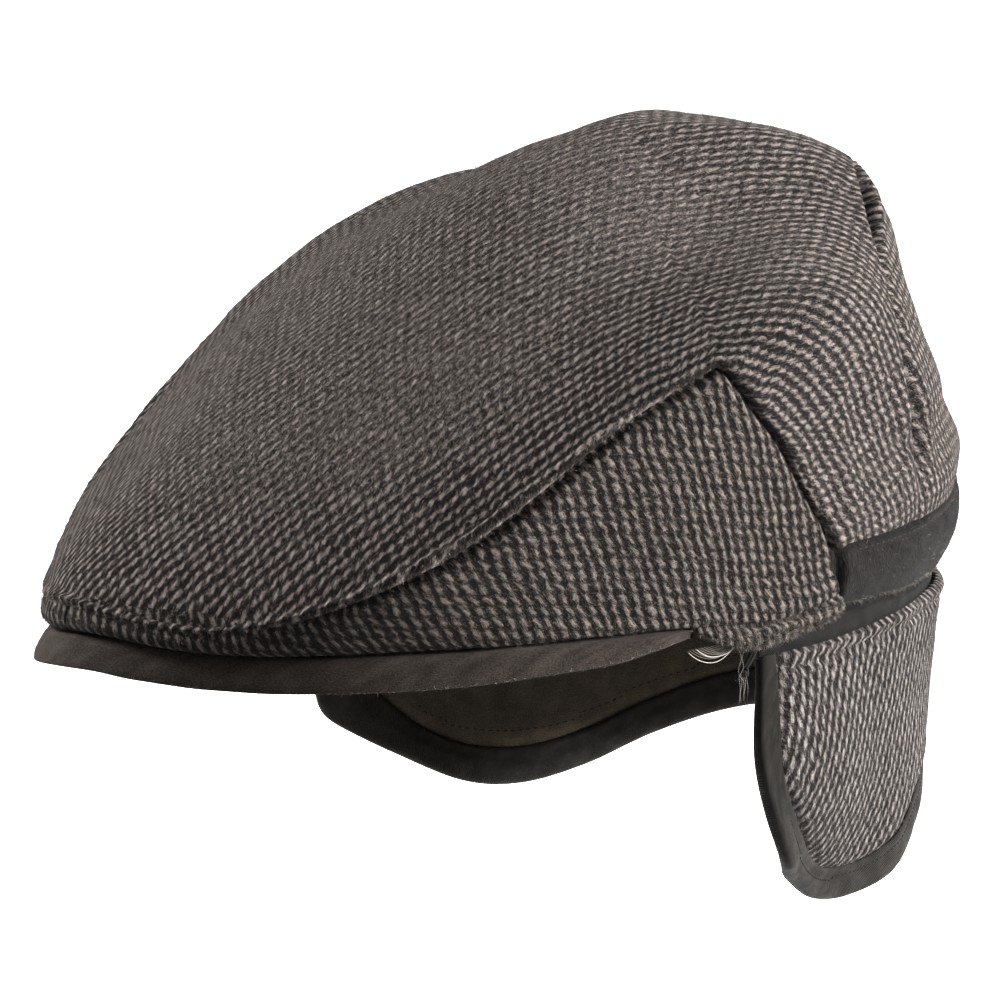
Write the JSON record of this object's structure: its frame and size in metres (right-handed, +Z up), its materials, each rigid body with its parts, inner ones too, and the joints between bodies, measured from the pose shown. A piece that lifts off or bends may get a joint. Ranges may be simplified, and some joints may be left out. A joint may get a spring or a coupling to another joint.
{
  "type": "flat cap with earflaps",
  "caption": "Flat cap with a deep sewn crown, a stiff covered peak and a lined earflap that wraps the back and hangs down over the ears.",
  "frame": {"origin": "middle of the head opening at the height of the rim, where the cap sits on a head", "axes": "+Z up through the crown, the peak points to -Y, the wearer's left is +X"},
  "size_m": [0.193, 0.2667, 0.1925],
  "materials": {
    "wool_cloth": "brushed birdseye wool, light marks on charcoal",
    "suede_cloth": "matt black suede cloth with a short nap",
    "twill_tape": "dark grey satin twill"
  },
  "bodies": {
    "root": {"crown_top": "wool_cloth", "side_panel_left": "wool_cloth", "side_panel_right": "wool_cloth", "peak": "suede_cloth", "back_band": "suede_cloth", "hem_strip_left": "wool_cloth", "hem_strip_right": "wool_cloth", "flap_tape": "twill_tape", "earflap_cloth": "wool_cloth", "earflap_lining": "suede_cloth", "earflap_binding": "twill_tape", "flap_tack_left": "twill_tape", "flap_tack_right": "twill_tape"}
  },
  "joints": []
}
